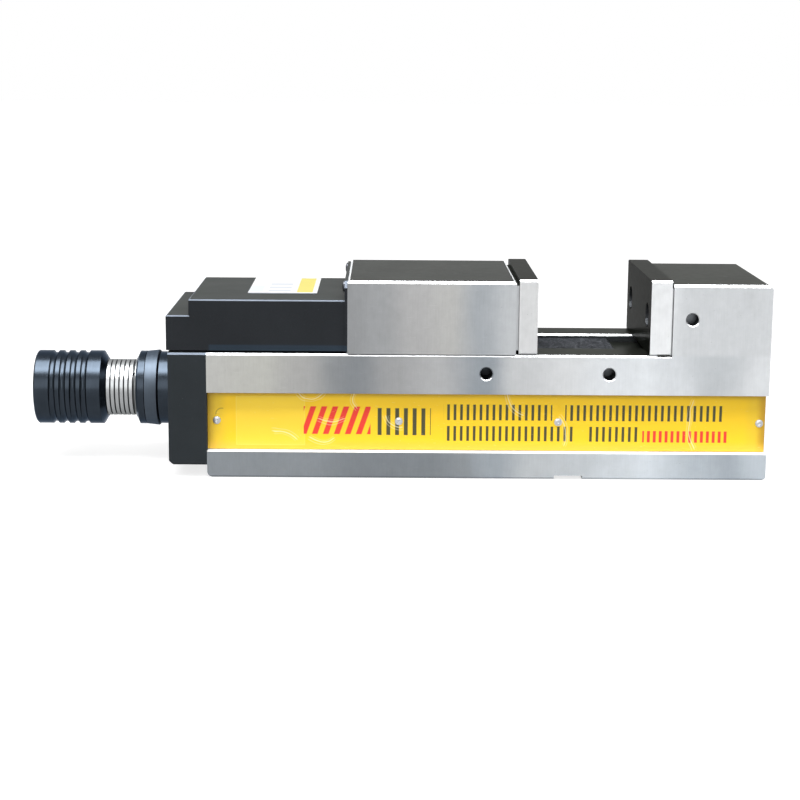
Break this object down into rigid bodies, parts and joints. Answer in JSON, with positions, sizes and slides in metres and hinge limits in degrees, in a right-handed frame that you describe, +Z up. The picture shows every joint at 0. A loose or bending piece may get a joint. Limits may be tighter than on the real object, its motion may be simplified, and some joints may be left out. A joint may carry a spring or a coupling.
{
  "type": "hydraulic machine vise",
  "caption": "Long machine vise with a bed and fixed jaw in one piece, a sliding jaw on an angle-lock nut, side clamp grooves, a chip cover and a hydraulic booster spindle.",
  "frame": {"origin": "on the base plane and the centreline, under the fixed jaw plate's clamping face", "axes": "+X from the grip to the fixed jaw along the spindle, +Y to the back side, +Z up"},
  "size_m": [0.5252, 0.13, 0.142],
  "materials": {
    "ground_iron": "ground and brushed ductile iron, light oil film",
    "ground_steel": "hardened, ground flat",
    "screw_steel": "black-oxide screws",
    "bright_steel": "turned bright steel",
    "dark_steel": "polished black-oxide steel",
    "matt_band": "fine-turned blue-grey steel",
    "dark_iron": "black-oxide iron, satin",
    "cover_sheet": "semi-gloss black paint on sheet steel",
    "yellow_plate": "yellow enamelled sheet under a clear film",
    "label_white": "plain white film with two fields of colour",
    "bronze": "oiled bearing bronze",
    "seal_rubber": "black nitrile"
  },
  "bodies": {
    "vise_bed": {"vise_body": "ground_iron", "fixed_jaw_plate": "ground_steel", "fixed_jaw_plate_screws": "screw_steel", "side_plate_front": "yellow_plate", "side_plate_back": "yellow_plate", "side_plate_screws": "screw_steel", "bearing_flange": "dark_iron", "flange_screws": "screw_steel", "bearing_cap": "dark_steel", "spindle_wiper": "seal_rubber", "radial_bush": "bronze", "thrust_washers": "bright_steel", "thrust_rollers": "bright_steel", "thrust_cage": "bronze"},
    "sliding_jaw": {"movable_jaw": "ground_iron", "movable_jaw_plate": "ground_steel", "movable_jaw_plate_screws": "screw_steel", "drive_nut": "ground_iron", "pull_down_segment": "ground_steel", "nut_retaining_screw": "screw_steel", "slot_guard": "ground_steel", "guard_screws": "screw_steel", "chip_cover": "cover_sheet", "cover_screws": "screw_steel", "cover_label": "label_white"},
    "booster": {"booster_housing": "bright_steel", "index_ring": "matt_band", "lock_collar": "dark_steel", "input_circlip": "screw_steel", "clutch_springs": "bright_steel"},
    "grip": {"grip_sleeve": "dark_steel", "grip_ring": "seal_rubber"},
    "input": {"input_shaft": "bright_steel"},
    "piston": {"primary_piston": "bright_steel", "piston_seal": "seal_rubber"},
    "screw": {"spindle_screw": "bright_steel", "ram_seals": "seal_rubber", "drive_key": "bright_steel"}
  },
  "joints": [
    {"name": "spindle_turn", "type": "hinge", "parent": "vise_bed", "child": "booster", "pos_m": [-0.4, 0, 0.0525], "axis": [1, 0, 0], "range_deg": [-5820, 4680]},
    {"name": "jaw_slide", "type": "slide", "parent": "vise_bed", "child": "sliding_jaw", "axis": [1, 0, 0], "range_m": [-0.097, 0.078]},
    {"name": "pressure_set", "type": "slide", "parent": "booster", "child": "grip", "axis": [1, 0, 0], "range_m": [0, 0.017]},
    {"name": "booster_turn", "type": "hinge", "parent": "booster", "child": "input", "pos_m": [-0.42, 0, 0.0525], "axis": [1, 0, 0], "range_deg": [0, 1440]},
    {"name": "plunger_slide", "type": "slide", "parent": "booster", "child": "piston", "axis": [1, 0, 0], "range_m": [0, 0.008]},
    {"name": "ram_stroke", "type": "slide", "parent": "booster", "child": "screw", "axis": [1, 0, 0], "range_m": [0, 0.00147]}
  ],
  "couplings": [
    {"joint": "jaw_slide", "follows": "spindle_turn", "m_per_rad": 0.00095493},
    {"joint": "plunger_slide", "follows": "booster_turn", "m_per_rad": 0.00031831},
    {"joint": "ram_stroke", "follows": "booster_turn", "m_per_rad": 0.000058465}
  ]
}
